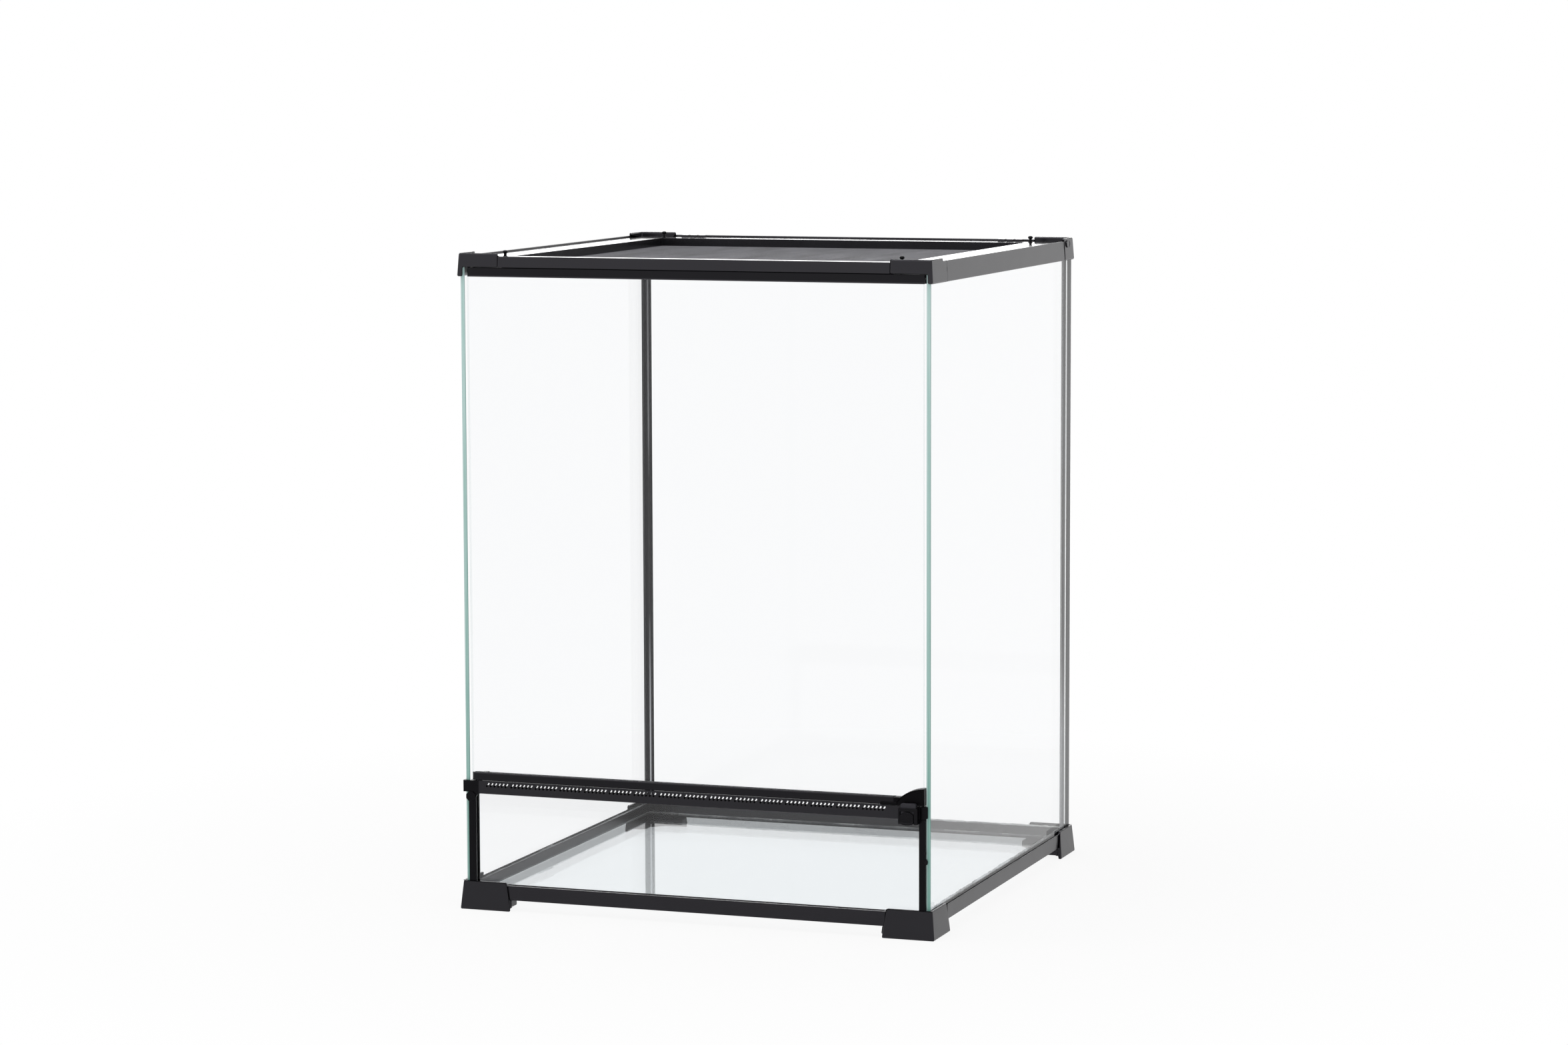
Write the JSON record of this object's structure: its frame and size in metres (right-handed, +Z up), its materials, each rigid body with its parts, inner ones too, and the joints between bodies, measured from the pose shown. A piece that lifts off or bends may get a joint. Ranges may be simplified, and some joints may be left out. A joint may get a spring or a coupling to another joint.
{
  "type": "reptile terrarium",
  "caption": "Front-opening glass reptile terrarium with a side-hinged door over a slotted vent rail, a sprung latch, a lift-off mesh lid and sliding cable gates.",
  "frame": {"origin": "on the table under the middle of the case, at the bottom of the bounding box", "axes": "+Z up, -Y towards the door at the front, +X to the right seen from the front"},
  "size_m": [0.455, 0.46, 0.6019],
  "materials": {
    "black_plastic": "satin moulded",
    "grey_plastic": "satin moulded",
    "clear_glass": "polished float glass",
    "clear_silicone": "translucent silicone",
    "mesh": "fine woven wire",
    "steel": "bright wire"
  },
  "bodies": {
    "case": {"base_rail_front": "black_plastic", "base_rail_back": "black_plastic", "base_rail_left": "black_plastic", "base_rail_right": "black_plastic", "foot_front_left": "black_plastic", "foot_front_right": "black_plastic", "foot_back_left": "black_plastic", "foot_back_right": "black_plastic", "floor_glass": "clear_glass", "left_glass": "clear_glass", "right_glass": "clear_glass", "back_glass": "clear_glass", "front_low_glass": "clear_glass", "back_left_post": "black_plastic", "back_right_post": "black_plastic", "upright_left": "black_plastic", "upright_right": "black_plastic", "pane_seal": "clear_silicone", "floor_seal": "clear_silicone", "vent_rail": "black_plastic", "vent_bracket_left": "black_plastic", "vent_bracket_right": "black_plastic", "bracket_cap": "black_plastic", "latch_box": "black_plastic", "latch_spring": "steel", "top_rail_front": "black_plastic", "top_rail_back": "black_plastic", "top_rail_left": "black_plastic", "top_rail_right": "black_plastic", "top_corner_front_left": "black_plastic", "top_corner_front_right": "black_plastic", "top_corner_back_left": "black_plastic", "top_corner_back_right": "black_plastic"},
    "lid": {"lid_rail_front": "black_plastic", "lid_rail_back": "black_plastic", "lid_rail_left": "black_plastic", "lid_rail_right": "black_plastic", "lid_corner_front_left": "black_plastic", "lid_corner_front_right": "black_plastic", "lid_corner_back_left": "black_plastic", "lid_corner_back_right": "black_plastic", "lid_mesh": "mesh"},
    "door": {"door_glass": "clear_glass", "door_top_rail": "black_plastic", "door_bottom_rail": "black_plastic", "door_handle": "black_plastic", "hinge_pin_top": "steel", "hinge_pin_bottom": "steel"},
    "latch": {"latch_tongue": "grey_plastic", "latch_button": "black_plastic"},
    "cable_gate_left": {"cable_gate_left": "black_plastic"},
    "cable_gate_right": {"cable_gate_right": "black_plastic"},
    "lid_pin_front_left": {"lid_pin_front_left": "black_plastic"},
    "lid_pin_front_right": {"lid_pin_front_right": "black_plastic"},
    "lid_pin_back_left": {"lid_pin_back_left": "black_plastic"},
    "lid_pin_back_right": {"lid_pin_back_right": "black_plastic"}
  },
  "joints": [
    {"name": "door_hinge", "type": "hinge", "parent": "case", "child": "door", "pos_m": [-0.2125, -0.219, 0.35], "axis": [0, 0, -1], "range_deg": [0, 105]},
    {"name": "latch_slide", "type": "slide", "parent": "case", "child": "latch", "axis": [0, 0, -1], "range_m": [0, 0.004], "stiffness_N_per_m": 300, "springref_m": -0.002, "deforming": ["latch_spring"]},
    {"name": "lid_lift", "type": "slide", "parent": "case", "child": "lid", "axis": [0, 0, 1], "range_m": [0, 0.15]},
    {"name": "lid_pin_front_left_pull", "type": "slide", "parent": "lid", "child": "lid_pin_front_left", "axis": [0, 0, 1], "range_m": [0, 0.006]},
    {"name": "lid_pin_front_right_pull", "type": "slide", "parent": "lid", "child": "lid_pin_front_right", "axis": [0, 0, 1], "range_m": [0, 0.006]},
    {"name": "lid_pin_back_left_pull", "type": "slide", "parent": "lid", "child": "lid_pin_back_left", "axis": [0, 0, 1], "range_m": [0, 0.006]},
    {"name": "lid_pin_back_right_pull", "type": "slide", "parent": "lid", "child": "lid_pin_back_right", "axis": [0, 0, 1], "range_m": [0, 0.006]},
    {"name": "cable_gate_left_slide", "type": "slide", "parent": "lid", "child": "cable_gate_left", "axis": [1, 0, 0], "range_m": [0, 0.02575]},
    {"name": "cable_gate_right_slide", "type": "slide", "parent": "lid", "child": "cable_gate_right", "axis": [-1, 0, 0], "range_m": [0, 0.02575]}
  ]
}
